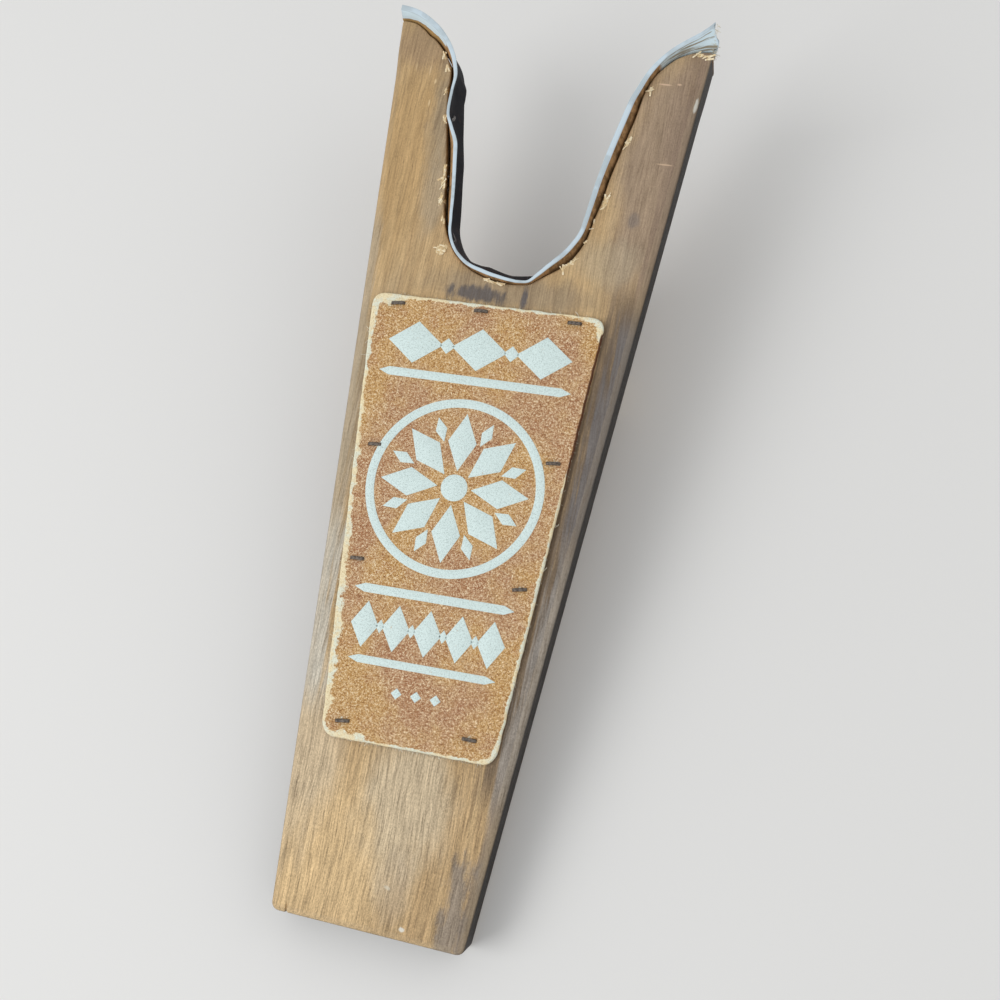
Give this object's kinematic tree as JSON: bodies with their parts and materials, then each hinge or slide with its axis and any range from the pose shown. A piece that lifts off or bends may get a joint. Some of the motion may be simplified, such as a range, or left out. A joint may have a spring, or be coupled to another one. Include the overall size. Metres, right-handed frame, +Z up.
{
  "type": "boot jack",
  "caption": "Tapered hardwood plank with a leather-lined U notch in its wide end and a stapled leather panel on top, raised behind the notch on a cross cleat.",
  "frame": {"origin": "on the floor under the middle of the whole object, at the centre of its bounding box's base", "axes": "+Y along the plank from its tail to its fork, +X to the right across it, +Z up; the floor is Z = 0"},
  "size_m": [0.128, 0.3606, 0.0776],
  "materials": {
    "stained_wood": "worn stain and thin varnish, greyed towards the right edge",
    "cleat_wood": "stained, dull",
    "liner_leather": "dark smooth face, pale fibrous back and cut edges",
    "panel_leather": "speckled split leather with a worn pale edge and a plain pale ornament",
    "staple_wire": "darkened, slightly rusted",
    "screw_steel": "zinc plated"
  },
  "bodies": {
    "root": {"plank": "stained_wood", "riser_cleat": "cleat_wood", "notch_liner": "liner_leather", "label_panel": "panel_leather", "label_staples_top": "staple_wire", "label_staples_left": "staple_wire", "label_staples_right": "staple_wire", "label_staples_bottom": "staple_wire", "liner_staples_left": "staple_wire", "liner_staple_crotch": "staple_wire", "liner_staples_right": "staple_wire", "cleat_screws": "screw_steel"}
  },
  "joints": []
}
